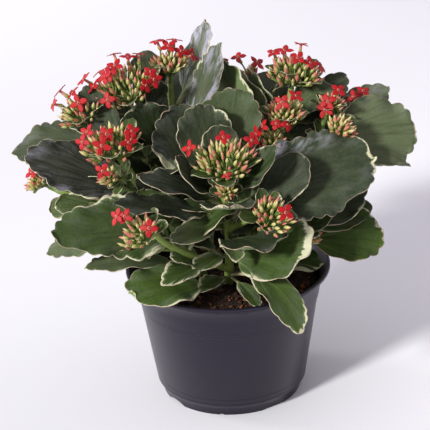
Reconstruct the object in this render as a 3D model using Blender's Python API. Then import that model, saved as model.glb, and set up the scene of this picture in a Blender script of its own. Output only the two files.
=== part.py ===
# Potted kalanchoe: a plant with cream-edged leaves and red flower heads, in a round nursery pot.
# Metres, +Z up. The origin is on the pot's axis, on the surface that the pot stands on.
# +X is to the right and -Y towards the front. All sizes below are in millimetres.

import math

import bmesh
import bpy
from mathutils import Matrix, Vector

MM = 0.001
GAP = 0.3                   # clearance between neighbouring pieces

# Pot
POT_HEIGHT = 85.0
RIM_RADIUS = 65.0
COLLAR_RADIUS = 57.5        # where the flared rim meets the tapered wall
COLLAR_HEIGHT = 65.0
WALL_FOOT_RADIUS = 48.0     # bottom of the tapered wall
WALL_FOOT_HEIGHT = 8.0
BASE_RADIUS = 44.5
WALL = 1.4
FLOOR_HEIGHT = 3.0          # clearance under the pot's floor
FLOOR_THICKNESS = 1.6
PAD_RADIUS = 9.0            # flat central pad that the mount is measured on
POT_SEGMENTS = 60
PAD_BEVEL = 1.5
FOOT_RING_WIDTH = 2.4
FOOT_RING_BEVEL = 1.6
SHOULDER_HEIGHT = 72.0      # where the collar starts to flare out
SHOULDER_RADIUS = 58.7
LIP_HEIGHT = 6.5            # rolled lip of the rim
LIP_BAND = 1.8
ARCHES = 4                  # shallow arches in the foot ring
ARCH_RADIUS = 13.6
ARCH_DEPTH = 2.6
ARCH_START = -55.0          # degrees
NOTCH_SIZE = 2.2            # small notches between the arches
RING_CUT = 14.0             # radial length of the foot ring's cutters
DRAIN_HOLES = 6
DRAIN_RADIUS = 3.6
DRAIN_CIRCLE = 27.0
DRAIN_START = 10.0          # degrees
DRAIN_CUT = 12.0

# Soil
SOIL_TOP = 74.0
SOIL_CROWN = 1.6            # the soil is a little higher in the middle
SOIL_SEGMENTS = 30
POCKET_DEPTH = 18.0         # how deep the cuttings stand in the soil
POCKET_CLEARANCE = 0.5
SOIL_WALL_GAP = 1.0

# Stems
TUBE_SIDES = 8
TRUNK_RADIUS = 3.2
TRUNK_TIP_RADIUS = 2.4
BRANCH_RADIUS = 2.3
BRANCH_TIP_RADIUS = 1.8
STEPS_PER_SPAN = 3

# Leaves
STALK_HALF_WIDTH = 1.7
STALK_THICKNESS = 2.6
BLADE_THICKNESS = 1.3
MARGIN_THICKNESS = 0.5
BLADE_RISE = 0.6            # how slowly the blade widens from its stalk
BLADE_ROWS = 7
ACROSS = (-1.0, -0.55, 0.0, 0.55, 1.0)

# Flower heads
HEAD_SIDES = 10
HEAD_PROFILE = ((0.0, 0.07), (0.3, 0.09), (0.5, 0.6), (0.7, 1.0), (0.88, 0.85), (1.0, 0.4))

ROOT_Z = SOIL_TOP - POCKET_DEPTH

# Each stem node is one cutting: its trunk comes first, and its branches grow out of it.
STEMS = {
    "stem_front": {
        "front": [(0, -12, ROOT_Z), (0, -12, 68), (0, -12, 78), (1, -14, 92), (1, -18, 114),
                  (0, -22, 136), (0, -24, 152)],
        "front_right": [(1, -18, 117), (10, -30, 127), (20, -43, 137)],
        "front_left": [(1, -13, 87), (-20, -33, 106), (-38, -50, 125), (-43, -56, 134)],
        "front_low": [(0, -12, 81), (-6, -21, 82), (-11, -30, 83)],
    },
    "stem_left": {
        "left": [(-16, -2, ROOT_Z), (-16, -2, 68), (-16, -2, 78), (-20, -3, 90), (-38, -8, 122),
                 (-56, -13, 152), (-64, -15, 168)],
        "left_edge": [(-28, -5, 104), (-58, 0, 120), (-92, 5, 132), (-110, 7, 140)],
    },
    "stem_back": {
        "left_back": [(-8, 16, ROOT_Z), (-8, 16, 68), (-8, 16, 78), (-11, 17, 90), (-26, 22, 124),
                      (-42, 26, 162), (-52, 27, 185)],
        "left_top": [(-28, 23, 130), (-31, 34, 162), (-32, 44, 192)],
        "left_side": [(-27, 23, 127), (-52, 20, 154), (-78, 16, 178)],
        "back": [(-11, 17, 90), (-8, 50, 120), (-6, 74, 150), (-6, 82, 166)],
    },
    "stem_right": {
        "right": [(14, 4, ROOT_Z), (14, 4, 68), (14, 4, 78), (16, 5, 90), (24, 9, 122),
                  (32, 13, 154), (37, 15, 170)],
        "right_back": [(18, 6, 98), (28, 24, 132), (40, 40, 166), (45, 46, 185)],
        "right_far": [(17, 5, 94), (36, 12, 122), (56, 20, 154), (65, 24, 173)],
        "right_low": [(15, 4, 87), (32, -6, 98), (52, -16, 112)],
    },
}

# Leaf: stem and height on it, tip, width, the way its upper face looks, arch, cup, sway, stalk, roundness.
LEAVES = {
    "leaf_top_1": ("left_top", 178, (-8, 64, 226), 26, (-16, -11, 5), -3, 2, 0, 0.2, 0.7),
    "leaf_top_2": ("left_top", 158, (1, 34, 221), 24, (-16, -12, 4), -3, 2, 0, 0.2, 0.7),
    "leaf_top_3": ("right_back", 142, (-2, 50, 209), 40, (15, 14, 5), -4, 2, 0, 0.15, 0.8),
    "leaf_top_4": ("right_back", 154, (10, 55, 197), 28, (15, 14, 6), -3, 2, 0, 0.15, 0.8),
    "leaf_top_5": ("right_back", 166, (17, 58, 194), 24, (15, 12, 8), -3, 2, 0, 0.15, 0.8),
    "leaf_top_6": ("right_back", 168, (70, 48, 185), 28, (1, -8, 18), 3, 2, 0, 0.1, 0.45),
    "leaf_top_7": ("right_back", 150, (82, 52, 172), 30, (-1, -8, 18), 3, 2, 0, 0.15, 0.45),
    "leaf_top_8": ("right_back", 134, (108, 68, 174), 32, (2, -9, 17), 3, 2, 0, 0.15, 0.6),
    "leaf_crown_1": ("front", 136, (-32, 6, 189), 46, (9, -15, 9), -4, 3, 0, 0.15, 0.45),
    "leaf_crown_2": ("front", 144, (-16, -9, 197), 33, (3, -16, 10), -3, 3, 0, 0.15, 0.45),
    "leaf_crown_3": ("front", 142, (7, 6, 201), 38, (1, -15, 12), -4, 3, 0, 0.15, 0.45),
    "leaf_crown_4": ("front", 146, (-30, -40, 174), 26, (3, -6, 18), -3, 2, 0, 0.1, 0.7),
    "leaf_crown_5": ("front", 148, (32, -35, 178), 23, (-7, -9, 17), -3, 2, 0, 0.1, 0.7),
    "leaf_crown_6": ("front", 138, (-53, -42, 165), 26, (1, -4, 19), 2, 2, 0, 0.15, 0.7),
    "leaf_crown_7": ("front", 127, (-66, -54, 153), 30, (0, -3, 20), 2, 2, 0, 0.2, 0.7),
    "leaf_crown_8": ("front", 138, (2, -64, 156), 34, (0, 2, 20), -3, 6, 0, 0.1, 0.45),
    "leaf_right_1": ("front", 133, (91, -7, 158), 54, (-2, -15, 13), 4, 3, 0, 0.15, 0.45),
    "leaf_right_2": ("front_right", 131, (50, -24, 166), 27, (-3, -14, 13), -2, 3, 0, 0.15, 0.45),
    "leaf_right_3": ("right_far", 160, (122, 30, 158), 46, (0, -15, 13), 3, 4, 0, 0.05, 0.45),
    "leaf_right_4": ("right_low", 111, (85, 1, 138), 32, (0, -12, 16), 3, 3, 0, 0.15, 0.45),
    "leaf_right_5": ("right_low", 104, (98, -5, 103), 38, (1, -12, 15), 4, 3, 0, 0.2, 0.45),
    "leaf_right_6": ("front", 97, (50, -57, 121), 43, (1, -13, 15), 2, 2, 0, 0.08, 0.45),
    "leaf_right_7": ("front", 113, (18, -68, 132), 42, (0, 2, 20), 0, 6, 0, 0.2, 0.45),
    "leaf_right_8": ("right", 81, (60, -12, 88), 26, (0, -6, 18), 4, 2, 0, 0.2, 0.7),
    "leaf_left_1": ("front", 120, (-104, -46, 133), 40, (0, -13, 14), 0, 3, 0, 0.25, 0.45),
    "leaf_left_2": ("left", 143, (-119, -14, 171), 35, (-1, -12, 15), 3, 3, 0, 0.1, 0.45),
    "leaf_left_3": ("left_side", 160, (-131, 15, 161), 38, (-2, -9, 17), 3, 3, 0, 0.15, 0.45),
    "leaf_left_4": ("left_back", 146, (-55, 8, 190), 36, (1, -17, 9), -3, 3, 0, 0.15, 0.5),
    "leaf_left_5": ("left", 125, (-112, -20, 106), 28, (-6, -8, 16), 3, 2, 0, 0.2, 0.7),
    "leaf_left_6": ("left", 88, (-89, -28, 99), 24, (0, -2, 20), 4, 2, 0, 0.2, 0.7),
    "leaf_low_1": ("front", 86, (43, -73, 72), 23, (4, -7, 18), 14, 2, 0, 0.3, 0.5),
    "leaf_low_2": ("front_low", 82.8, (-61, -50, 92), 38, (-3, -7, 18), 7, 1, -4, 0.15, 0.45),
    "leaf_low_3": ("front_left", 101, (-40, -66, 104), 18, (0, -8, 18), 4, 2, 0, 0.2, 0.6),
    "leaf_back_1": ("back", 161, (-34, 124, 176), 46, (2, 8, 17), 5, 4, 0, 0.2, 0.45),
    "leaf_back_2": ("back", 156, (34, 118, 166), 46, (-2, 8, 17), 5, 4, 0, 0.2, 0.45),
    "leaf_back_3": ("back", 144, (-62, 96, 148), 46, (3, 4, 18), 6, 4, 0, 0.2, 0.45),
    "leaf_back_4": ("back", 135, (52, 98, 132), 44, (-3, 6, 18), 6, 4, 0, 0.2, 0.45),
    "leaf_back_5": ("back", 117, (-14, 112, 112), 44, (0, 8, 17), 8, 4, 0, 0.2, 0.45),
    "leaf_back_6": ("left_side", 147, (-102, 62, 156), 42, (1, 6, 18), 5, 4, 0, 0.2, 0.45),
    "leaf_back_7": ("right_back", 126, (92, 84, 140), 42, (-1, 6, 18), 5, 4, 0, 0.2, 0.45),
    "leaf_back_8": ("left_back", 100, (-88, 52, 112), 42, (0, 5, 18), 7, 4, 0, 0.2, 0.45),
}

# Flower head: the stem that it ends, the middle of its top, and its radius.
HEADS = {
    "flowers_front": ("front", (1, -30, 178), 17),
    "flowers_front_right": ("front_right", (30, -58, 147), 11),
    "flowers_front_left": ("front_left", (-55, -71, 143), 11),
    "flowers_left": ("left", (-71, -18, 189), 18),
    "flowers_left_edge": ("left_edge", (-124, 8, 147), 9),
    "flowers_left_side": ("left_side", (-92, 13, 194), 11),
    "flowers_left_back": ("left_back", (-64, 27, 208), 20),
    "flowers_left_top": ("left_top", (-33, 49, 212), 13),
    "flowers_right": ("right", (40, 16, 188), 13),
    "flowers_right_back": ("right_back", (49, 50, 206), 16),
    "flowers_right_far": ("right_far", (69, 25, 189), 9),
    "flowers_back": ("back", (-7, 88, 188), 16),
}


def principled(name, colour, roughness):
    material = bpy.data.materials.new(name)
    material.use_nodes = True
    shader = material.node_tree.nodes["Principled BSDF"]
    shader.inputs["Base Color"].default_value = (*colour, 1.0)
    shader.inputs["Roughness"].default_value = roughness
    shader.inputs["Metallic"].default_value = 0.0
    return material


def new_object(name, builder, colour, roughness):
    """Turn a bmesh in millimetres into an object in metres with its own material."""
    bmesh.ops.scale(builder, vec=(MM, MM, MM), verts=builder.verts)
    bmesh.ops.recalc_face_normals(builder, faces=builder.faces)
    mesh = bpy.data.meshes.new(name)
    builder.to_mesh(mesh)
    builder.free()
    mesh.shade_smooth()
    mesh.set_sharp_from_angle(angle=math.radians(35))
    item = bpy.data.objects.new(name, mesh)
    bpy.context.scene.collection.objects.link(item)
    mesh.materials.append(principled(name, colour, roughness))
    return item


def hide_tool(item):
    item.hide_render = True
    item.display_type = "WIRE"


def add_boolean(item, tool, operation):
    modifier = item.modifiers.new(operation.title(), "BOOLEAN")
    modifier.operation = operation
    modifier.solver = "EXACT"
    modifier.object = tool


def turned(profile, segments):
    """A solid of revolution about Z. The profile starts and ends on the axis."""
    builder = bmesh.new()
    points = [builder.verts.new((radius, 0.0, height)) for radius, height in profile]
    edges = [builder.edges.new(pair) for pair in zip(points, points[1:])]
    bmesh.ops.spin(builder, geom=points + edges, axis=(0, 0, 1), cent=(0, 0, 0),
                   angle=2 * math.pi, steps=segments, use_merge=True)
    bmesh.ops.remove_doubles(builder, verts=builder.verts, dist=0.001)
    return builder


# Pot

def pot_profile():
    ring_inside = BASE_RADIUS - FOOT_RING_WIDTH
    outside = [
        (0, 0), (PAD_RADIUS, 0), (PAD_RADIUS + PAD_BEVEL, FLOOR_HEIGHT),
        (ring_inside - FOOT_RING_BEVEL, FLOOR_HEIGHT), (ring_inside, 0), (BASE_RADIUS, 0),
        (BASE_RADIUS + 1.2, WALL_FOOT_HEIGHT - 3.0), (WALL_FOOT_RADIUS - 0.8, WALL_FOOT_HEIGHT - 1.0),
        (WALL_FOOT_RADIUS, WALL_FOOT_HEIGHT), (COLLAR_RADIUS - 0.9, COLLAR_HEIGHT - 2.0),
        (COLLAR_RADIUS, COLLAR_HEIGHT), (SHOULDER_RADIUS, SHOULDER_HEIGHT),
        (RIM_RADIUS - 4.0, POT_HEIGHT - LIP_HEIGHT), (RIM_RADIUS - 1.3, POT_HEIGHT - LIP_BAND - 1.2),
        (RIM_RADIUS, POT_HEIGHT - LIP_BAND), (RIM_RADIUS, POT_HEIGHT - 0.4),
        (RIM_RADIUS - 0.6, POT_HEIGHT),
    ]
    inside = [
        (RIM_RADIUS - 2.0, POT_HEIGHT), (RIM_RADIUS - 3.2, POT_HEIGHT - 2.4),
        (RIM_RADIUS - 5.8, POT_HEIGHT - LIP_HEIGHT), (SHOULDER_RADIUS - 1.6, SHOULDER_HEIGHT),
        (COLLAR_RADIUS - WALL, COLLAR_HEIGHT), (WALL_FOOT_RADIUS - WALL, WALL_FOOT_HEIGHT),
        (BASE_RADIUS - 2.0, FLOOR_HEIGHT + FLOOR_THICKNESS), (0, FLOOR_HEIGHT + FLOOR_THICKNESS),
    ]
    return outside + inside


def pot_cutter():
    """The arches and notches of the foot ring and the drain holes, as one tool."""
    builder = bmesh.new()
    for index in range(ARCHES):
        angle = ARCH_START + index * 360.0 / ARCHES
        turn = Matrix.Rotation(math.radians(angle), 4, "Z")
        place = turn @ Matrix.Translation((BASE_RADIUS, 0, ARCH_DEPTH - ARCH_RADIUS))
        bmesh.ops.create_cone(builder, cap_ends=True, segments=40, radius1=ARCH_RADIUS,
                              radius2=ARCH_RADIUS, depth=RING_CUT,
                              matrix=place @ Matrix.Rotation(math.radians(90), 4, "Y"))
        notch = Matrix.Rotation(math.radians(angle + 180.0 / ARCHES), 4, "Z")
        notch = notch @ Matrix.Translation((BASE_RADIUS, 0, 0))
        bmesh.ops.create_cube(builder, size=1.0,
                              matrix=notch @ Matrix.Rotation(math.radians(45), 4, "X")
                              @ Matrix.Diagonal((RING_CUT, NOTCH_SIZE, NOTCH_SIZE, 1.0)))
    for index in range(DRAIN_HOLES):
        angle = math.radians(index * 360.0 / DRAIN_HOLES + DRAIN_START)
        spot = (DRAIN_CIRCLE * math.cos(angle), DRAIN_CIRCLE * math.sin(angle), FLOOR_HEIGHT)
        bmesh.ops.create_cone(builder, cap_ends=True, segments=12, radius1=DRAIN_RADIUS,
                              radius2=DRAIN_RADIUS, depth=DRAIN_CUT,
                              matrix=Matrix.Translation(spot))
    tool = new_object("pot_cutter", builder, (0.5, 0.5, 0.5), 0.5)
    hide_tool(tool)
    return tool


def make_pot():
    pot = new_object("pot", turned(pot_profile(), POT_SEGMENTS), (0.035, 0.032, 0.042), 0.42)
    add_boolean(pot, pot_cutter(), "DIFFERENCE")


# Soil

def make_soil():
    floor = FLOOR_HEIGHT + FLOOR_THICKNESS + GAP
    inner = COLLAR_RADIUS - WALL - SOIL_WALL_GAP
    profile = [
        (0, floor), (BASE_RADIUS - 4.0, floor),
        (WALL_FOOT_RADIUS - WALL - SOIL_WALL_GAP, WALL_FOOT_HEIGHT + 1.0), (inner, COLLAR_HEIGHT),
        (inner + 0.4, SOIL_TOP - 2.0), (inner - 2.0, SOIL_TOP - 0.4),
        (inner * 0.7, SOIL_TOP), (inner * 0.35, SOIL_TOP + 0.5 * SOIL_CROWN), (0, SOIL_TOP + SOIL_CROWN),
    ]
    soil = new_object("soil", turned(profile, SOIL_SEGMENTS), (0.035, 0.018, 0.010), 0.95)
    builder = bmesh.new()
    radius = TRUNK_RADIUS + POCKET_CLEARANCE
    height = 1.5 * POCKET_DEPTH
    for branches in STEMS.values():
        foot = Vector(next(iter(branches.values()))[0])
        middle = foot + Vector((0, 0, height / 2 - GAP))
        bmesh.ops.create_cone(builder, cap_ends=True, segments=12, radius1=radius, radius2=radius,
                              depth=height, matrix=Matrix.Translation(middle))
    tool = new_object("soil_cutter", builder, (0.5, 0.5, 0.5), 0.5)
    hide_tool(tool)
    add_boolean(soil, tool, "DIFFERENCE")


# Stems

def smooth_path(points):
    """Catmull-Rom points through the route, evenly spread over its spans."""
    route = [Vector(point) for point in points]
    route = [2 * route[0] - route[1]] + route + [2 * route[-1] - route[-2]]
    path = []
    for before, start, end, after in zip(route, route[1:], route[2:], route[3:]):
        for step in range(STEPS_PER_SPAN):
            t = step / STEPS_PER_SPAN
            path.append(0.5 * (2 * start + (end - before) * t
                               + (2 * before - 5 * start + 4 * end - after) * t ** 2
                               + (3 * start - before - 3 * end + after) * t ** 3))
    path.append(route[-2])
    return path


def branch_radii(name):
    for branches in STEMS.values():
        if next(iter(branches)) == name:
            return TRUNK_RADIUS, TRUNK_TIP_RADIUS
    return BRANCH_RADIUS, BRANCH_TIP_RADIUS


PATHS = {name: smooth_path(points) for branches in STEMS.values() for name, points in branches.items()}


def on_stem(name, height):
    """Middle, direction and radius of a stem where it passes a height."""
    path = PATHS[name]
    index = 0
    while index < len(path) - 2 and path[index + 1].z < height:
        index += 1
    below, above = path[index], path[index + 1]
    share = min(1.0, max(0.0, (height - below.z) / (above.z - below.z)))
    start, end = branch_radii(name)
    radius = start + (end - start) * (index + share) / (len(path) - 1)
    return below.lerp(above, share), (above - below).normalized(), radius


def tube(path, radii):
    """A round tube along the path, with flat ends."""
    builder = bmesh.new()
    rings = []
    for index, point in enumerate(path):
        ahead = path[min(index + 1, len(path) - 1)] - path[max(index - 1, 0)]
        if index < 2:
            ahead = path[1] - path[0]
        turn = Vector((0, 0, 1)).rotation_difference(ahead)
        radius = radii[0] + (radii[1] - radii[0]) * index / (len(path) - 1)
        ring = []
        for side in range(TUBE_SIDES):
            angle = 2 * math.pi * side / TUBE_SIDES
            spoke = Vector((radius * math.cos(angle), radius * math.sin(angle), 0))
            ring.append(builder.verts.new(point + turn @ spoke))
        rings.append(ring)
    for lower, upper in zip(rings, rings[1:]):
        for side in range(TUBE_SIDES):
            after = (side + 1) % TUBE_SIDES
            builder.faces.new((lower[side], lower[after], upper[after], upper[side]))
    builder.faces.new(rings[0])
    builder.faces.new(rings[-1])
    return builder


def make_stems():
    colour = (0.20, 0.30, 0.10)
    for node, branches in STEMS.items():
        names = list(branches)
        trunk = new_object(node, tube(PATHS[names[0]], branch_radii(names[0])), colour, 0.5)
        for name in names[1:]:
            branch = new_object("branch_" + name, tube(PATHS[name], branch_radii(name)), colour, 0.5)
            hide_tool(branch)
            add_boolean(trunk, branch, "UNION")


# Leaves

def leaf_frame(leaf):
    """Start, length, axis, side and face directions of a leaf."""
    stem, height, tip, _, face, arch = leaf[:6]
    middle, along, radius = on_stem(stem, height)
    reach = Vector(tip) - middle
    outward = (reach - along * reach.dot(along)).normalized()
    leaving = (reach + Vector(face).normalized() * (4 * arch)).normalized()
    start = middle + outward * (radius + GAP + STALK_HALF_WIDTH * abs(leaving.dot(along)))
    axis = Vector(tip) - start
    length = axis.length
    axis.normalize()
    up = Vector(face)
    up = (up - axis * up.dot(axis)).normalized()
    return start, length, axis, axis.cross(up), up


def half_width(t, width, stalk, fall):
    share = max(0.0, (t - stalk) / (1 - stalk))
    widest = BLADE_RISE / (BLADE_RISE + fall)
    peak = widest ** BLADE_RISE * (1 - widest) ** fall
    blade = 0.5 * width * share ** BLADE_RISE * max(0.0, 1 - share) ** fall / peak
    return math.hypot(STALK_HALF_WIDTH, blade)


def leaf_surface(leaf, frame, t, v):
    """Point on the middle of the blade: t runs from stalk to tip, v from -1 to 1 across."""
    width, arch, cup, sway, stalk, fall = leaf[3], *leaf[5:]
    start, length, axis, side, up = frame
    spread = v * half_width(t, width, stalk, fall)
    bulge = 4 * t * (1 - t)
    rise = arch * bulge + cup * (2 * spread / width) ** 2
    return start + axis * (length * t) + side * (spread + sway * bulge) + up * rise


def leaf_rows(stalk):
    rows = [0.0, 0.5 * stalk]
    for row in range(BLADE_ROWS + 1):
        rows.append(stalk + (1 - stalk) * math.sin(0.5 * math.pi * row / BLADE_ROWS))
    return rows


def leaf_solid(leaf):
    frame = leaf_frame(leaf)
    stalk = leaf[8]
    builder = bmesh.new()
    layers = ([], [])
    small = 0.01
    for t in leaf_rows(stalk):
        share = max(0.0, (t - stalk) / (1 - stalk))
        middle = BLADE_THICKNESS + (STALK_THICKNESS - BLADE_THICKNESS) * max(0.0, 1 - 3 * share)
        upper = []
        lower = []
        for v in ACROSS:
            point = leaf_surface(leaf, frame, t, v)
            ahead = leaf_surface(leaf, frame, t + small, v) - leaf_surface(leaf, frame, t - small, v)
            if t + small > 1:
                ahead = frame[2] - frame[4] * (4 * leaf[5] / frame[1])
            across = leaf_surface(leaf, frame, t, v + small) - leaf_surface(leaf, frame, t, v - small)
            normal = across.cross(ahead).normalized()
            half = 0.5 * (MARGIN_THICKNESS + (middle - MARGIN_THICKNESS) * (1 - v * v))
            upper.append(builder.verts.new(point + normal * half))
            lower.append(builder.verts.new(point - normal * half))
        layers[0].append(upper)
        layers[1].append(lower)
    last = len(ACROSS) - 1
    for layer in layers:
        for near, far in zip(layer, layer[1:]):
            for column in range(last):
                builder.faces.new((near[column], near[column + 1], far[column + 1], far[column]))
    for column in (0, last):
        for row in range(len(layers[0]) - 1):
            builder.faces.new((layers[0][row][column], layers[0][row + 1][column],
                               layers[1][row + 1][column], layers[1][row][column]))
    for row in (0, -1):
        builder.faces.new(layers[0][row] + layers[1][row][::-1])
    return builder


def make_leaves():
    for index, (name, leaf) in enumerate(LEAVES.items()):
        shade = 0.8 + 0.4 * (index % 5) / 4
        low = name.startswith("leaf_low")
        colour = (0.10, 0.19, 0.03) if low else (0.065 * shade, 0.085 * shade, 0.050 * shade)
        new_object(name, leaf_solid(leaf), colour, 0.45)


# Flower heads

def head_solid(stem, top, radius):
    """A dome on a short stalk. It leaves along the stem and turns towards its own top."""
    path = PATHS[stem]
    along = (path[-1] - path[-2]).normalized()
    start = path[-1] + along * GAP
    axis = Vector(top) - start
    builder = bmesh.new()
    rings = []
    for share, spread in HEAD_PROFILE:
        facing = along.lerp(axis.normalized(), min(1.0, 2 * share))
        turn = Vector((0, 0, 1)).rotation_difference(facing)
        ring = []
        for side in range(HEAD_SIDES):
            angle = 2 * math.pi * side / HEAD_SIDES
            spoke = Vector((math.cos(angle), math.sin(angle), 0)) * radius * spread
            ring.append(builder.verts.new(start + axis * share + turn @ spoke))
        rings.append(ring)
    for lower, upper in zip(rings, rings[1:]):
        for side in range(HEAD_SIDES):
            after = (side + 1) % HEAD_SIDES
            builder.faces.new((lower[side], lower[after], upper[after], upper[side]))
    builder.faces.new(rings[0])
    builder.faces.new(rings[-1])
    return builder


def make_heads():
    for name, (stem, top, radius) in HEADS.items():
        new_object(name, head_solid(stem, top, radius), (0.45, 0.06, 0.04), 0.5)


def main():
    for item in list(bpy.data.objects):
        bpy.data.objects.remove(item, do_unlink=True)
    make_pot()
    make_soil()
    make_stems()
    make_leaves()
    make_heads()


main()
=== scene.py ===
import math
import random

import bpy
import numpy as np
from mathutils import Matrix, Vector, noise


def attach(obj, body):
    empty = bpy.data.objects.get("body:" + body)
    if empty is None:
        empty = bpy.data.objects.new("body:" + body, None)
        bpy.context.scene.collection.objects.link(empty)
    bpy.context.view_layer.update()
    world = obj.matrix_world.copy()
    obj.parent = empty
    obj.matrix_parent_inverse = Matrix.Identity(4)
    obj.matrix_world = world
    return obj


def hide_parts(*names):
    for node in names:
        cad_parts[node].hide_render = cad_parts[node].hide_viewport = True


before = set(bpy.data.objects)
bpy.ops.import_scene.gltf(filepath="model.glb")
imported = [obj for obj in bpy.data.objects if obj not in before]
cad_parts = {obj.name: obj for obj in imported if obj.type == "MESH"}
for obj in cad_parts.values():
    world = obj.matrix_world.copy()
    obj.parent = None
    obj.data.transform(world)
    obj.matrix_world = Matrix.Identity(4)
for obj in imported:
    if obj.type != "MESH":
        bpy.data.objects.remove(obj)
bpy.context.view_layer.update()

mm = 0.001


# a colour as seen on a screen, 0 to 255, turned into the linear one that shaders use
def paint(red, green, blue):
    linear = []
    for part in (red, green, blue):
        value = part / 255
        linear.append(value / 12.92 if value < 0.04045 else ((value + 0.055) / 1.055) ** 2.4)
    return (*linear, 1.0)


def deselectAll():
    if bpy.context.object and bpy.context.object.mode != "OBJECT":
        bpy.ops.object.mode_set(mode="OBJECT")
    bpy.ops.object.select_all(action="DESELECT")


def pickOnly(piece):
    deselectAll()
    piece.select_set(True)
    bpy.context.view_layer.objects.active = piece


# every finished piece belongs to the one body, and may stand for a CAD node
def settle(piece, node=None):
    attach(piece, "root")
    if node:
        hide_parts(node)
    return piece


# Shader maths


class Wire:
    def __init__(self, maker, socket):
        self.maker = maker
        self.socket = socket

    def join(self, operation, first, second):
        return self.maker.add("ShaderNodeMath", {"operation": operation}, {0: first, 1: second})

    def __add__(self, other):
        return self.join("ADD", self, other)

    def __radd__(self, other):
        return self.join("ADD", other, self)

    def __sub__(self, other):
        return self.join("SUBTRACT", self, other)

    def __rsub__(self, other):
        return self.join("SUBTRACT", other, self)

    def __mul__(self, other):
        return self.join("MULTIPLY", self, other)

    def __rmul__(self, other):
        return self.join("MULTIPLY", other, self)

    def __truediv__(self, other):
        return self.join("DIVIDE", self, other)

    def clamp(self):
        return self.maker.add("ShaderNodeClamp", {}, {"Value": self})

    # 0 up to the low value, then rising to 1
    def over(self, low, gain):
        return ((self - low) * gain).clamp()


class Maker:
    def __init__(self, name, **constants):
        self.material = bpy.data.materials.new(name)
        self.material.use_nodes = True
        self.tree = self.material.node_tree
        self.shader = self.tree.nodes["Principled BSDF"]
        for socket, value in constants.items():
            self.shader.inputs[socket.replace("_", " ")].default_value = value

    def feed(self, socket, value):
        if isinstance(value, Wire):
            self.tree.links.new(value.socket, socket)
        else:
            socket.default_value = value

    def add(self, kind, settings, sockets, output=0):
        node = self.tree.nodes.new(kind)
        for setting, value in settings.items():
            if setting == "stops":
                ramp = node.color_ramp
                while len(ramp.elements) < len(value):
                    ramp.elements.new(0.5)
                for element, (place, colour) in zip(ramp.elements, value):
                    element.position = place
                    element.color = colour
            else:
                setattr(node, setting, value)
        for name, value in sockets.items():
            self.feed(node.inputs[name], value)
        return Wire(self, node.outputs[output])

    def attribute(self, name):
        return self.add("ShaderNodeAttribute", {"attribute_name": name}, {}, "Fac")

    def noise(self, vector, scale, detail=3.0, roughness=0.55):
        sockets = {"Vector": vector, "Scale": scale, "Detail": detail, "Roughness": roughness}
        return self.add("ShaderNodeTexNoise", {}, sockets, "Fac")

    def position(self):
        return self.add("ShaderNodeTexCoord", {}, {}, "Object")

    def mix(self, share, first, second):
        return self.add("ShaderNodeMix", {"data_type": "RGBA"}, {0: share, 6: first, 7: second}, 2)

    def finish(self, colour=None, roughness=None, height=None, depth=0.0002, strength=0.6):
        if colour is not None:
            self.feed(self.shader.inputs["Base Color"], colour)
        if roughness is not None:
            self.feed(self.shader.inputs["Roughness"], roughness)
        if height is not None:
            bump = self.add("ShaderNodeBump", {}, {"Height": height, "Distance": depth, "Strength": strength})
            self.feed(self.shader.inputs["Normal"], bump)
        return self.material


# Camera, lights and floor

view = {
    "target": (-0.0069, 0.0, 0.119),
    "distance": 1.25,
    "elevation": 24.6,
    "roll": 2.3,
    "lens": 166.6,
}
light = {
    "sunTurn": 44.0,        # degrees to the left of the camera
    "sunHeight": 27.0,
    "sunPower": 3.6,
    "sunSize": 9.0,
    "sunColour": (0.99, 1.0, 0.97),
    "sky": 0.37,            # brightness of the studio walls, level with the horizon
    "skyBack": 0.24,        # how much brighter they are behind the plant
    "skyTop": 0.33,
    "skyLeft": 0.10,
    "skyColour": (0.95, 0.91, 1.0, 1.0),
    "strip": 0.5,           # a tall soft box to the left, which the pot's edge reflects
    "stripPlace": (-0.95, 0.35, 0.2),
    "stripSize": (0.3, 0.5),
    "stripSpread": 50,
}
# painted light and shade on the floor: the paper's colour is a little darker in the near left and far right,
# in place of how the lamps light it
floorPaintedShading = {"wide": 12, "share": 0.52, "across": 3.2, "away": 0.1, "both": 7.2,
             "dark": (0.795, 0.785, 0.825, 1), "pale": (0.945, 0.935, 0.97, 1)}


def makeView():
    rise = math.radians(view["elevation"])
    back = Vector((0, -math.cos(rise), math.sin(rise)))
    right = Vector((1, 0, 0))
    up = back.cross(right)
    roll = math.radians(view["roll"])
    across = right * math.cos(roll) - up * math.sin(roll)
    upward = right * math.sin(roll) + up * math.cos(roll)
    place = Vector(view["target"]) + back * view["distance"]
    bpy.ops.object.camera_add()
    camera = bpy.context.object
    camera.name = "camera"
    camera.data.lens = view["lens"]
    camera.data.sensor_width = 36
    camera.data.clip_start = 0.05
    turn = Matrix((across, upward, back)).transposed().to_4x4()
    camera.matrix_world = Matrix.Translation(place) @ turn
    bpy.context.scene.camera = camera


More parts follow.
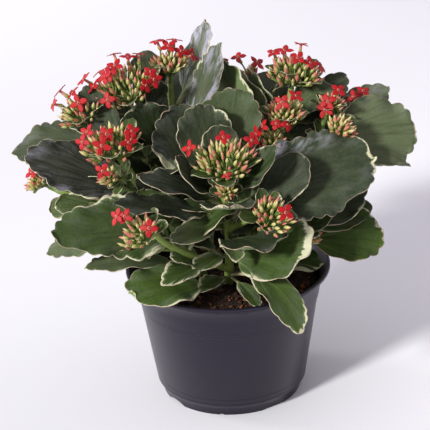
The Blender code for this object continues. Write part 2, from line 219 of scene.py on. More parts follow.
def makeLights():
    bpy.ops.object.light_add(type="SUN")
    sun = bpy.context.object
    sun.name = "keyLight"
    sun.data.energy = light["sunPower"]
    sun.data.color = light["sunColour"]
    sun.data.angle = math.radians(light["sunSize"])
    turn = math.radians(light["sunTurn"])
    rise = math.radians(light["sunHeight"])
    towards = Vector((-math.sin(turn) * math.cos(rise), -math.cos(turn) * math.cos(rise), math.sin(rise)))
    sun.matrix_world = towards.to_track_quat("Z", "Y").to_matrix().to_4x4()
    bpy.ops.object.light_add(type="AREA")
    strip = bpy.context.object
    strip.name = "leftStrip"
    strip.data.shape = "RECTANGLE"
    strip.data.size, strip.data.size_y = light["stripSize"]
    strip.data.spread = math.radians(light["stripSpread"])
    strip.data.energy = light["strip"]
    place = Vector(light["stripPlace"])
    strip.matrix_world = Matrix.Translation(place) @ place.to_track_quat("Z", "Y").to_matrix().to_4x4()
    world = bpy.data.worlds.new("studio")
    world.use_nodes = True
    tree = world.node_tree
    sky = tree.nodes["Background"]
    sky.inputs["Color"].default_value = light["skyColour"]
    level = tree.nodes.new("ShaderNodeVectorMath")
    level.operation = "DOT_PRODUCT"
    level.inputs[1].default_value = (-light["skyLeft"], light["skyBack"], light["skyTop"])
    total = tree.nodes.new("ShaderNodeMath")
    total.operation = "ADD"
    total.inputs[1].default_value = light["sky"]
    tree.links.new(tree.nodes.new("ShaderNodeTexCoord").outputs["Generated"], level.inputs[0])
    tree.links.new(level.outputs["Value"], total.inputs[0])
    tree.links.new(total.outputs[0], sky.inputs["Strength"])
    bpy.context.scene.world = world
    bpy.context.scene.view_settings.view_transform = "Standard"


def makeFloor():
    bpy.ops.mesh.primitive_plane_add(size=floorPaintedShading["wide"])
    floor = bpy.context.object
    floor.name = "floor"
    maker = Maker("floorPaperPaintedShading", Roughness=0.9, Specular_IOR_Level=0.2)
    across = maker.add("ShaderNodeSeparateXYZ", {}, {0: maker.position()})
    away = maker.add("ShaderNodeSeparateXYZ", {}, {0: maker.position()}, 1)
    # painted light and shade: this mask runs the floor from the darker to the paler paper colour
    share = floorPaintedShading["share"] + across * floorPaintedShading["across"] + away * floorPaintedShading["away"]
    share = (share - across * away * floorPaintedShading["both"]).clamp()
    floor.data.materials.append(maker.finish(maker.mix(share, floorPaintedShading["dark"], floorPaintedShading["pale"])))


deselectAll()
makeView()
makeLights()
makeFloor()
print("camera, lights and floor ready")

# Stems: the routes of the CAD stems, trunk first, in millimetres

stemRoutes = {
    "stem_front": {
        "front": [(0, -12, 56), (0, -12, 68), (0, -12, 78), (1, -14, 92), (1, -18, 114), (0, -22, 136),
                  (0, -24, 152)],
        "front_right": [(1, -18, 117), (10, -30, 127), (20, -43, 137)],
        "front_left": [(1, -13, 87), (-20, -33, 106), (-38, -50, 125), (-43, -56, 134)],
        "front_low": [(0, -12, 81), (-6, -21, 82), (-11, -30, 83)],
    },
    "stem_left": {
        "left": [(-16, -2, 56), (-16, -2, 68), (-16, -2, 78), (-20, -3, 90), (-38, -8, 122),
                 (-56, -13, 152), (-64, -15, 168)],
        "left_edge": [(-28, -5, 104), (-58, 0, 120), (-92, 5, 132), (-110, 7, 140)],
    },
    "stem_back": {
        "left_back": [(-8, 16, 56), (-8, 16, 68), (-8, 16, 78), (-11, 17, 90), (-26, 22, 124),
                      (-42, 26, 162), (-52, 27, 185)],
        "left_top": [(-28, 23, 130), (-31, 34, 162), (-32, 44, 192)],
        "left_side": [(-27, 23, 127), (-52, 20, 154), (-78, 16, 178)],
        "back": [(-11, 17, 90), (-8, 50, 120), (-6, 74, 150), (-6, 82, 166)],
    },
    "stem_right": {
        "right": [(14, 4, 56), (14, 4, 68), (14, 4, 78), (16, 5, 90), (24, 9, 122), (32, 13, 154),
                  (37, 15, 170)],
        "right_back": [(18, 6, 98), (28, 24, 132), (40, 40, 166), (45, 46, 185)],
        "right_far": [(17, 5, 94), (36, 12, 122), (56, 20, 154), (65, 24, 173)],
        "right_low": [(15, 4, 87), (32, -6, 98), (52, -16, 112)],
    },
}
stemShape = {"trunk": (3.2, 2.4), "branch": (2.3, 1.8), "steps": 3, "sides": 14, "gap": 0.3}


def smoothRoute(points, steps):
    route = [Vector(point) for point in points]
    route = [2 * route[0] - route[1]] + route + [2 * route[-1] - route[-2]]
    path = []
    for before, start, end, after in zip(route, route[1:], route[2:], route[3:]):
        for step in range(steps):
            t = step / steps
            path.append(0.5 * (2 * start + (end - before) * t
                               + (2 * before - 5 * start + 4 * end - after) * t ** 2
                               + (3 * start - before - 3 * end + after) * t ** 3))
    path.append(route[-2])
    return path


stemPaths = {}
stemRadii = {}
for branches in stemRoutes.values():
    for order, (branchName, points) in enumerate(branches.items()):
        stemPaths[branchName] = smoothRoute(points, stemShape["steps"])
        stemRadii[branchName] = stemShape["branch" if order else "trunk"]


def onStem(name, height):
    path = stemPaths[name]
    index = 0
    while index < len(path) - 2 and path[index + 1].z < height:
        index += 1
    below, above = path[index], path[index + 1]
    share = min(1.0, max(0.0, (height - below.z) / (above.z - below.z)))
    start, end = stemRadii[name]
    radius = start + (end - start) * (index + share) / (len(path) - 1)
    return below.lerp(above, share), (above - below).normalized(), radius


# Shapes gathered into one mesh: corners, faces, the material of each face and numbers kept at corners


class Heap:
    def __init__(self, *marks):
        self.corners = []
        self.faces = []
        self.kinds = []
        self.marks = {mark: [] for mark in marks}

    def add(self, shape, place=Matrix.Identity(4), **values):
        start = len(self.corners)
        corners, faces, kinds, marks = shape
        for corner in corners:
            self.corners.append(place @ corner)
        for face, kind in zip(faces, kinds):
            self.faces.append([start + corner for corner in face])
            self.kinds.append(kind)
        for mark, row in self.marks.items():
            if mark in marks:
                row.extend(marks[mark])
            else:
                row.extend([values.get(mark, 0.0)] * len(corners))

    def build(self, name, materials):
        mesh = bpy.data.meshes.new(name)
        mesh.from_pydata([corner * mm for corner in self.corners], [], self.faces)
        for material in materials:
            mesh.materials.append(material)
        mesh.polygons.foreach_set("material_index", self.kinds)
        for mark, row in self.marks.items():
            layer = mesh.attributes.new(mark, "FLOAT", "POINT")
            layer.data.foreach_set("value", row)
        mesh.shade_smooth()
        piece = bpy.data.objects.new(name, mesh)
        bpy.context.scene.collection.objects.link(piece)
        pickOnly(piece)
        bpy.ops.object.mode_set(mode="EDIT")
        bpy.ops.mesh.select_all(action="SELECT")
        bpy.ops.mesh.normals_make_consistent(inside=False)
        bpy.ops.object.mode_set(mode="OBJECT")
        return piece


# a round closed rod along a path, with its radius at each point
def rodShape(path, radii, sides, kind=0):
    corners = []
    faces = []
    along = []
    for index, point in enumerate(path):
        ahead = path[min(index + 1, len(path) - 1)] - path[max(index - 1, 0)]
        turn = Vector((0, 0, 1)).rotation_difference(ahead)
        for side in range(sides):
            angle = 2 * math.pi * side / sides
            spoke = Vector((radii[index] * math.cos(angle), radii[index] * math.sin(angle), 0))
            corners.append(point + turn @ spoke)
            along.append(index / (len(path) - 1))
    for row in range(len(path) - 1):
        for side in range(sides):
            after = (side + 1) % sides
            faces.append((row * sides + side, row * sides + after,
                          (row + 1) * sides + after, (row + 1) * sides + side))
    faces.append(tuple(range(sides))[::-1])
    faces.append(tuple(range((len(path) - 1) * sides, len(path) * sides)))
    return corners, faces, [kind] * len(faces), {"along": along}


def stemMaterial():
    maker = Maker("stemSkin", Specular_IOR_Level=0.45, IOR=1.4)
    place = maker.position()
    blotch = maker.noise(place, 120.0)
    fine = maker.noise(place, 1400.0, 2.0)
    young = maker.attribute("along")
    colour = maker.mix(young, paint(142, 160, 84), paint(132, 154, 78))
    colour = maker.mix(blotch.over(0.45, 4.0), colour, paint(112, 132, 60))
    return maker.finish(colour, 0.42 + 0.2 * fine, fine + blotch, 0.0002, 0.5)


def makeStems():
    skin = stemMaterial()
    for node, branches in stemRoutes.items():
        heap = Heap("along")
        for name, points in branches.items():
            path = smoothRoute(points, 8)
            start, end = stemRadii[name]
            radii = []
            for index in range(len(path)):
                share = index / (len(path) - 1)
                knot = 0.35 * max(0.0, math.cos(index * 0.9)) ** 6
                radii.append(start + (end - start) * share + knot)
            heap.add(rodShape(path, radii, stemShape["sides"]))
        settle(heap.build(node + "_skin", [skin]), node)


makeStems()
print("stems ready")

# Leaves: stem and height on it, tip, width, the way the upper face looks, arch and cup, then, where they
# are not the usual ones, the share that is stalk, how blunt the tip is, and sway

usualEnd = (0.15, 0.45, 0)
leafPlaces = {
    "leaf_top_1": ("left_top", 178, (-8, 64, 226), 26, (-16, -11, 5), -3, 2, 0.2, 0.7),
    "leaf_top_2": ("left_top", 158, (1, 34, 221), 24, (-16, -12, 4), -3, 2, 0.2, 0.7),
    "leaf_top_3": ("right_back", 142, (-2, 50, 209), 40, (15, 14, 5), -4, 2, 0.15, 0.8),
    "leaf_top_4": ("right_back", 154, (10, 55, 197), 28, (15, 14, 6), -3, 2, 0.15, 0.8),
    "leaf_top_5": ("right_back", 166, (17, 58, 194), 24, (15, 12, 8), -3, 2, 0.15, 0.8),
    "leaf_top_6": ("right_back", 168, (70, 48, 185), 28, (1, -8, 18), 3, 2, 0.1),
    "leaf_top_7": ("right_back", 150, (82, 52, 172), 30, (-1, -8, 18), 3, 2),
    "leaf_top_8": ("right_back", 134, (108, 68, 174), 32, (2, -9, 17), 3, 2, 0.15, 0.6),
    "leaf_crown_1": ("front", 136, (-32, 6, 189), 46, (9, -15, 9), -4, 3),
    "leaf_crown_2": ("front", 144, (-16, -9, 197), 33, (3, -16, 10), -3, 3),
    "leaf_crown_3": ("front", 142, (7, 6, 201), 38, (1, -15, 12), -4, 3),
    "leaf_crown_4": ("front", 146, (-30, -40, 174), 26, (3, -6, 18), -3, 2, 0.1, 0.7),
    "leaf_crown_5": ("front", 148, (32, -35, 178), 23, (-7, -9, 17), -3, 2, 0.1, 0.7),
    "leaf_crown_6": ("front", 138, (-53, -42, 165), 26, (1, -4, 19), 2, 2, 0.15, 0.7),
    "leaf_crown_7": ("front", 127, (-66, -54, 153), 30, (0, -3, 20), 2, 2, 0.2, 0.7),
    "leaf_crown_8": ("front", 138, (2, -62, 151), 34, (0, 2, 20), -1, 4, 0.1),
    "leaf_right_1": ("front", 133, (92, -7, 157), 54, (-2, -15, 13), 4, 3, 0.15, 0.56),
    "leaf_right_2": ("front_right", 131, (50, -24, 166), 27, (-3, -14, 13), -2, 3),
    "leaf_right_3": ("right_far", 160, (122, 30, 158), 46, (0, -15, 13), 3, 4, 0.05),
    "leaf_right_4": ("right_low", 111, (85, 1, 138), 32, (0, -12, 16), 3, 3),
    "leaf_right_5": ("right_low", 104, (98, -5, 103), 38, (1, -12, 15), 4, 3, 0.2),
    "leaf_right_6": ("front", 97, (50, -57, 121), 43, (1, -13, 15), 2, 2, 0.08),
    "leaf_right_7": ("front", 113, (22, -67, 126), 42, (0, 0, 20), 1, 4, 0.2),
    "leaf_right_8": ("right", 81, (60, -12, 88), 26, (0, -6, 18), 4, 2, 0.2, 0.7),
    "leaf_left_1": ("front", 120, (-105, -46, 133), 41, (0, -13, 14), 0, 5, 0.25, 0.66),
    "leaf_left_2": ("left", 143, (-120, -14, 171), 36, (-1, -12, 15), 3, 3, 0.1, 0.58),
    "leaf_left_3": ("left_side", 160, (-132, 15, 161), 39, (-2, -9, 17), 3, 3, 0.15, 0.66),
    "leaf_left_4": ("left_back", 146, (-55, 8, 190), 36, (1, -17, 9), -3, 3, 0.15, 0.5),
    "leaf_left_5": ("left", 125, (-112, -20, 106), 28, (-6, -8, 16), 3, 2, 0.2, 0.7),
    "leaf_left_6": ("left", 88, (-89, -28, 99), 24, (0, -2, 20), 4, 2, 0.2, 0.7),
    "leaf_low_1": ("front", 86, (43, -73, 72), 23, (4, -7, 18), 14, 2, 0.3, 0.5),
    "leaf_low_2": ("front_low", 82.8, (-61, -50, 92), 38, (-3, -7, 18), 7, 1, 0.15, 0.45, -4),
    "leaf_low_3": ("front_left", 101, (-40, -66, 104), 18, (0, -8, 18), 4, 2, 0.2, 0.6),
    "leaf_back_1": ("back", 161, (-34, 124, 176), 46, (2, 8, 17), 5, 4, 0.2),
    "leaf_back_2": ("back", 156, (34, 118, 166), 46, (-2, 8, 17), 5, 4, 0.2),
    "leaf_back_3": ("back", 144, (-62, 96, 148), 46, (3, 4, 18), 6, 4, 0.2),
    "leaf_back_4": ("back", 135, (52, 98, 132), 44, (-3, 6, 18), 6, 4, 0.2),
    "leaf_back_5": ("back", 117, (-14, 112, 112), 44, (0, 8, 17), 8, 4, 0.2),
    "leaf_back_6": ("left_side", 147, (-102, 62, 156), 42, (1, 6, 18), 5, 4, 0.2),
    "leaf_back_7": ("right_back", 126, (92, 84, 140), 42, (-1, 6, 18), 5, 4, 0.2),
    "leaf_back_8": ("left_back", 100, (-88, 52, 112), 42, (0, 5, 18), 7, 4, 0.2),
}
# leaves too small, or too hidden, for a CAD node of their own
smallLeaves = {
    "leaf_small_1": ("front", 141, (-2, -12, 185), 24, (0, -17, 10), -2, 2, 0.15, 0.5),
    "leaf_small_2": ("left_back", 172, (-47, 50, 212), 22, (0, -17, 10), -2, 2),
    "leaf_small_3": ("right_back", 160, (81, 60, 186), 24, (1, -12, 14), 2, 2, 0.15, 0.7),
    "leaf_small_4": ("right_low", 108, (92, 12, 117), 22, (0, -12, 16), 2, 2, 0.2, 0.6),
    "leaf_small_5": ("right_low", 106, (68, -15, 130), 20, (0, -12, 16), 2, 2, 0.2, 0.6),
    "leaf_small_6": ("right_far", 150, (118, 25, 137), 24, (0, 11, 14), 2, 2, 0.2, 0.6),
    "leaf_small_7": ("left_back", 160, (-100, 25, 182), 22, (0, -12, 14), 2, 2, 0.15, 0.5),
    "leaf_small_8": ("left_edge", 128, (-110, 0, 128), 18, (0, -12, 14), 2, 2, 0.15, 0.5),
    "leaf_small_9": ("left", 158, (-84, 15, 203), 20, (2, -14, 10), -2, 2, 0.15, 0.5),
    "leaf_small_10": ("left_back", 178, (-36, 30, 198), 14, (6, -14, 10), -2, 2, 0.15, 0.7),
    "leaf_small_11": ("front", 84, (18, -60, 82), 10, (0, -4, 18), 3, 1, 0.3, 0.7),
    "leaf_small_12": ("left_back", 138, (-60, 34, 154), 34, (0, -14, 12), 2, 3, 0.15, 0.5),
    "leaf_small_13": ("left_back", 114, (-74, 20, 137), 34, (-2, -13, 14), 2, 3, 0.15, 0.5),
    "leaf_small_14": ("left_back", 106, (-45, 14, 144), 36, (2, -14, 12), 2, 3, 0.15, 0.5),
    "leaf_small_15": ("left_top", 158, (-30, 78, 185), 30, (0, -15, 10), 2, 3, 0.15, 0.5),
    "leaf_small_16": ("right_back", 158, (28, 78, 184), 32, (-2, -14, 12), 2, 3, 0.15, 0.5),
    "leaf_small_17": ("right_back", 140, (42, 44, 166), 36, (2, -14, 13), 2, 3, 0.15, 0.5),
    "leaf_small_18": ("left_back", 96, (-82, 30, 111), 32, (-3, -10, 16), 2, 3, 0.15, 0.5),
    "leaf_small_19": ("left_back", 128, (-39, 30, 167), 36, (2, -15, 9), 2, 3, 0.15, 0.5),
    "leaf_small_20": ("right", 120, (20, 30, 150), 36, (0, -15, 10), 2, 3, 0.15, 0.5),
    "leaf_small_21": ("left_side", 150, (-82, 40, 177), 36, (-2, -12, 15), 2, 3, 0.15, 0.5),
    "leaf_small_22": ("right_far", 128, (75, 40, 136), 34, (2, -12, 15), 2, 3, 0.15, 0.5),
    "leaf_small_23": ("left", 112, (-53, -4, 130), 32, (0, -13, 14), 2, 3, 0.15, 0.5),
    "leaf_small_24": ("front", 126, (-34, -58, 129), 16, (0, -14, 12), 2, 2, 0.2, 0.6),
    "leaf_small_25": ("front_left", 104, (-35, -48, 114), 14, (-3, -10, 15), 2, 2, 0.2, 0.6),
    "leaf_small_26": ("front", 112, (5, -52, 111), 14, (2, -12, 14), 2, 2, 0.2, 0.6),
    "leaf_small_27": ("front", 100, (-21, -46, 103), 14, (-4, -12, 12), 2, 2, 0.2, 0.6),
    "leaf_small_28": ("front", 84, (-18, -45, 88), 12, (0, -8, 17), 2, 2, 0.2, 0.6),
    "leaf_small_29": ("right", 100, (9, 6, 120), 32, (0, -14, 12), 2, 3, 0.15, 0.5),
    "leaf_small_31": ("left_edge", 126, (-105, -14, 136), 20, (-2, -12, 14), 2, 2, 0.2, 0.6),
    "leaf_small_32": ("left_edge", 118, (-94, -12, 129), 18, (1, -12, 14), 2, 2, 0.2, 0.6),
    "leaf_small_33": ("left_back", 124, (-70, 26, 155), 34, (-1, -14, 12), 2, 3),
    "leaf_small_34": ("left", 124, (-54, -14, 154), 20, (0, -13, 14), 2, 3, 0.15, 0.55),
    "leaf_small_35": ("back", 104, (-40, 62, 97), 34, (-2, 8, 17), 4, 3, 0.2, 0.5),
    "leaf_small_36": ("back", 100, (34, 64, 98), 34, (2, 8, 17), 4, 3, 0.2, 0.5),
    "leaf_small_37": ("left_back", 88, (-58, 44, 93), 32, (0, 5, 18), 4, 3, 0.2, 0.5),
    "leaf_small_38": ("right_back", 104, (66, 50, 104), 34, (0, 5, 18), 4, 3, 0.2, 0.5),
    "leaf_small_30": ("left_top", 164, (-34, 70, 176), 30, (2, -14, 12), 2, 3, 0.15, 0.5),
}
# lush is greener, pale lighter or (below 0) darker, partly the leaf's own tone and partly painted light and
# shade, the sheen value sets the painted sheen (a painted highlight) on the face, rim the depth of cream, jag
# the depth of the teeth, the sheen edge is the side that the painted sheen keeps to, and spots are where the
# cream is deeper: side, place, spread, depth
leafLooks = {
    "usual": {"lush": 0.0, "pale": 0.12, "gloss": 0.15, "rim": 0.2, "jag": 1.0,
              "sheenPaintEdge": 0, "spots": ()},
    "leaf_top_1": {"pale": 0.8, "gloss": 3.0},
    "leaf_top_2": {"pale": 0.6, "gloss": 2.4},
    "leaf_top_3": {"lush": 0.5, "rim": 0.7},
    "leaf_top_4": {"lush": 0.4, "rim": 0.7},
    "leaf_top_5": {"lush": 0.3, "rim": 0.6},
    "leaf_top_6": {"pale": 0.5, "lush": 0.3},
    "leaf_top_8": {"pale": 0.9, "gloss": 0.6},
    "leaf_crown_1": {"gloss": 1.3, "pale": -0.2, "sheenPaintEdge": -1,
                     "spots": ((-1, 0.45, 0.22, 5.0), (1, 0.8, 0.1, 2.0))},
    "leaf_crown_2": {"pale": 0.1},
    "leaf_crown_4": {"pale": -0.3},
    "leaf_crown_5": {"pale": -0.1, "lush": 0.4},
    "leaf_crown_6": {"pale": -0.5},
    "leaf_crown_7": {"pale": -0.4},
    "leaf_right_7": {"pale": -0.2, "lush": 0.2},
    "leaf_crown_3": {"pale": 0.3, "lush": 0.3, "rim": 0.4},
    "leaf_right_1": {"gloss": 1.6, "pale": 0.0, "jag": 1.7, "sheenPaintEdge": -1,
                     "spots": ((-1, 0.2, 0.14, 4.0), (0, 1.0, 0.05, 2.0))},
    "leaf_right_2": {"gloss": 0.0, "pale": -0.3},
    "leaf_right_3": {"pale": 1.0, "lush": 0.25, "rim": 0.25, "spots": ((-1, 0.15, 0.12, 4.0),)},
    "leaf_right_5": {"lush": 1.0, "rim": 0.2, "gloss": 0.0},
    "leaf_right_6": {"lush": 0.8, "spots": ((0, 1.0, 0.1, 11.0), (1, 0.4, 0.15, 3.0))},
    "leaf_right_8": {"lush": 0.9, "spots": ((1, 0.6, 0.3, 5.0),)},
    "leaf_left_1": {"lush": 0.6, "jag": 1.6, "spots": ((1, 0.5, 0.25, 2.0), (-1, 0.35, 0.2, 4.0))},
    # darkened partly for its own greyer tone and partly as painted shade from the heads above it
    "leaf_left_2": {"pale": -0.8, "gloss": 0.6},
    "leaf_left_4": {"pale": -0.1, "lush": 0.3},
    "leaf_left_3": {"pale": 0.5, "gloss": 0.4},
    "leaf_left_5": {"pale": 0.9, "lush": 0.3},
    "leaf_left_6": {"pale": 1.0, "lush": 0.4, "rim": 1.0},
    "leaf_small_8": {"pale": 0.8, "lush": 0.6},
    "leaf_small_31": {"pale": 0.7, "lush": 0.8, "rim": 0.7},
    "leaf_small_32": {"pale": 0.5, "lush": 0.9, "rim": 0.6},
    "leaf_low_1": {"lush": 1.0, "pale": 0.3, "rim": 1.0},
    "leaf_low_2": {"lush": 1.0, "rim": 0.4, "spots": ((-1, 0.4, 0.3, 2.0),)},
    "leaf_low_3": {"lush": 0.9, "rim": 1.0, "spots": ((0, 0.6, 0.4, 1.5),)},
    "leaf_small_4": {"lush": 0.8},
    "leaf_small_5": {"lush": 0.9, "rim": 0.7},
    "leaf_small_11": {"lush": 0.9, "rim": 1.0},
    "leaf_small_24": {"lush": 0.6, "pale": 0.9, "rim": 0.8},
    "leaf_small_25": {"lush": 0.9, "pale": 0.5, "rim": 1.2},
    "leaf_small_26": {"lush": 0.8, "pale": 0.9, "rim": 1.0},
    "leaf_small_27": {"lush": 0.9, "pale": 0.4, "rim": 1.4},
    "leaf_small_28": {"lush": 1.0, "pale": 0.6, "rim": 0.8},
}
leafShape = {
    "swell": 0.6,
    "stalkHalf": 1.7,
    "stalkDeep": 2.6,
    "stalkRows": 0.12,      # the share of rows that the stalk takes
    "blade": 0.75,
    "rows": 64,
    "columns": 32,
    "tooth": 8.2,
    "toothDeep": 2.1,
    "ruffle": 1.6,
    "groove": 0.5,
    "veinStep": 0.155,      # the angle between veins, in the fan that they make
    "veinWide": 0.9,
    "veinLong": 48.0,
}


def leafFrame(leaf):
    stem, height, tip, _, face, arch = leaf[:6]
    middle, along, radius = onStem(stem, height)
    reach = Vector(tip) - middle
    outward = (reach - along * reach.dot(along)).normalized()
    leaving = (reach + Vector(face).normalized() * (4 * arch)).normalized()
    start = middle + outward * (radius + stemShape["gap"] + leafShape["stalkHalf"] * abs(leaving.dot(along)))
    axis = Vector(tip) - start
    length = axis.length
    axis.normalize()
    up = Vector(face)
    up = (up - axis * up.dot(axis)).normalized()
    return start, length, axis, axis.cross(up), up


def ease(value, low, high):
    share = np.clip((value - low) / (high - low), 0, 1)
    return share * share * (3 - 2 * share)


def makeLeaf(name, place, shape, look, seed, rows, columns):
    luck = random.Random(seed)
    width, arch, cup, stalk, fall, sway = shape
    start, length, axis, side, up = place
    deselectAll()
    bpy.ops.mesh.primitive_grid_add(x_subdivisions=columns, y_subdivisions=rows, size=2)
    piece = bpy.context.object
    piece.name = name
    piece.data.name = name
    count = len(piece.data.vertices)
    flat = np.zeros(count * 3)
    piece.data.vertices.foreach_get("co", flat)
    flat = flat.reshape(-1, 3)
    v = np.sin(flat[:, 0] * math.pi / 2) * 0.35 + flat[:, 0] * 0.65
    row = np.rint((flat[:, 1] + 1) / 2 * rows).astype(int)

    # the outline of one side, then its rounded teeth
    fraction = np.linspace(0, 1, rows + 1)
    stalkRows = leafShape["stalkRows"]
    bladeShare = np.clip((fraction - stalkRows) / (1 - stalkRows), 0, 1)
    t = np.where(fraction < stalkRows, stalk * fraction / stalkRows,
                 stalk + (1 - stalk) * np.sin(bladeShare * math.pi / 2))
    share = np.clip((t - stalk) / (1 - stalk), 0, 1)
    swell = leafShape["swell"]
    widest = swell / (swell + fall)
    peak = widest ** swell * (1 - widest) ** fall
    blade = 0.5 * width * share ** swell * (1 - share) ** fall / peak
    # small leaves have thinner stalks and smaller teeth
    slim = min(1.0, 0.2 + width / 34)
    half = np.hypot(leafShape["stalkHalf"] * slim * (1 - 0.8 * share), blade)
    x = length * t
    dx = np.gradient(x)
    dh = np.gradient(half)
    step = np.hypot(dx, dh) + 1e-9
    travel = np.cumsum(step)
    size = min(1.0, width / 36)
    offsets = []
    waves = []
    for edge in (-1, 1):
        phase = luck.uniform(0, math.pi)
        pitch = leafShape["tooth"] * (0.55 + 0.45 * size) * luck.uniform(0.9, 1.15)
        wander = 0.9 * np.sin(travel / 9.0 + phase * 2)
        lobe = np.abs(np.sin(math.pi * travel / pitch + phase + wander * 0.6)) ** 0.65 - 0.62
        deep = leafShape["toothDeep"] * (0.5 + 0.5 * size) * (0.7 + 0.5 * np.sin(travel / 11.0 + phase))
        broad = 1.5 * size * np.sin(travel / 5.6 + phase * 5) * np.sin(travel / 17.0 + phase)
        offsets.append((lobe * deep + broad) * look["jag"] * ease(share, 0.12, 0.42))
        waves.append(leafShape["ruffle"] * size * ease(share, 0.05, 0.3)
                     * (np.sin(travel / 5.2 + phase * 3) + 0.7 * np.sin(travel / 2.7 + phase)))
    normalX = -dh / step
    normalY = dx / step
    rightSide = v > 0
    offset = np.where(rightSide, offsets[1][row], offsets[0][row])
    wave = np.where(rightSide, waves[1][row], waves[0][row])
    reach = np.abs(v) ** 3
    planX = x[row] + normalX[row] * offset * reach
    planY = v * half[row] + np.sign(v) * normalY[row] * offset * reach

    # how far each corner is from the margin, in the plane of the leaf
    margin = []
    for edge, edgeOffset in zip((-1, 1), offsets):
        margin.append(np.stack([x + normalX * edgeOffset, edge * (half + normalY * edgeOffset)], 1))
    margin = np.concatenate(margin)
    rim = np.sqrt(((planX[:, None] - margin[None, :, 0]) ** 2
                   + (planY[:, None] - margin[None, :, 1]) ** 2).min(1))

    bulge = 4 * t[row] * (1 - t[row])
    groove = -leafShape["groove"] * np.exp(-(planY / 1.3) ** 2) * (1 - 0.7 * t[row])
    rise = arch * bulge + cup * (2 * planY / width) ** 2 + wave * np.abs(v) ** 2.2 + groove
    origin, ahead, across, upward = (np.array(vector) for vector in (start, axis, side, up))
    corners = (origin + ahead * planX[:, None]
               + across * (planY + sway * bulge)[:, None] + upward * rise[:, None])
    piece.data.vertices.foreach_set("co", (corners * mm).ravel())

    # numbers that the leaf's material reads
    cream = look["rim"] * (0.8 + 0.5 * np.sin(travel / 11.0 + seed)[row])
    spots = list(look["spots"])
    spots.append((luck.choice((-1, 1)), luck.uniform(0.3, 0.9), 0.12, luck.uniform(0.3, 1.6)))
    for edge, middle, spread, deep in spots:
        here = deep * np.exp(-((t[row] - middle) / spread) ** 2)
        cream = cream + np.where((edge == 0) | (np.sign(v) == edge), here, 0)
    bladeHere = ease(t[row], stalk * 0.7, stalk + 0.12)
    fanStart = length * stalk - 5.0
    # how much painted sheen (a painted highlight) each corner gets; with a sheen edge it keeps to that side
    # and fades towards the tip
    gloss = np.full(count, look["gloss"])
    if look["sheenPaintEdge"]:
        gloss *= 0.12 + 0.88 * ease(look["sheenPaintEdge"] * v, 0.1, 0.7) * (1 - ease(t[row], 0.6, 0.85))
    marks = {
        "rim": rim,
        "cream": cream * (0.05 + 0.95 * bladeHere),
        "fan": np.arctan2(planY, np.maximum(planX - fanStart, 2.0)),
        "reach": np.hypot(planY, np.maximum(planX - fanStart, 2.0)),
        "stalk": 1 - bladeHere,
        "lush": np.full(count, look["lush"]),
        "pale": np.full(count, look["pale"]),
        "gloss": gloss,
        "seed": np.full(count, seed * 3.7),
    }
    for mark, values in marks.items():
        layer = piece.data.attributes.new(mark, "FLOAT", "POINT")
        layer.data.foreach_set("value", values.astype(np.float32))

    # thick at the stalk, thin at the margin
    extra = leafShape["stalkDeep"] - leafShape["blade"]
    deep = leafShape["blade"] + extra * np.clip(1 - 2.5 * share[row], 0, 1)
    deep = deep * (1 - 0.5 * np.abs(v) ** 4)
    group = piece.vertex_groups.new(name="deep")
    for corner, value in enumerate(deep / leafShape["stalkDeep"]):
        group.add([corner], float(value), "REPLACE")
    for material in leafMaterials:
        piece.data.materials.append(material)
    wall = piece.modifiers.new("Wall", "SOLIDIFY")
    wall.thickness = leafShape["stalkDeep"] * slim * mm
    wall.offset = 0
    wall.vertex_group = "deep"
    wall.material_offset = 1
    wall.use_even_offset = False
    pickOnly(piece)
    bpy.ops.object.modifier_apply(modifier="Wall")
    bpy.ops.object.shade_smooth()
    piece.vertex_groups.clear()
    return piece


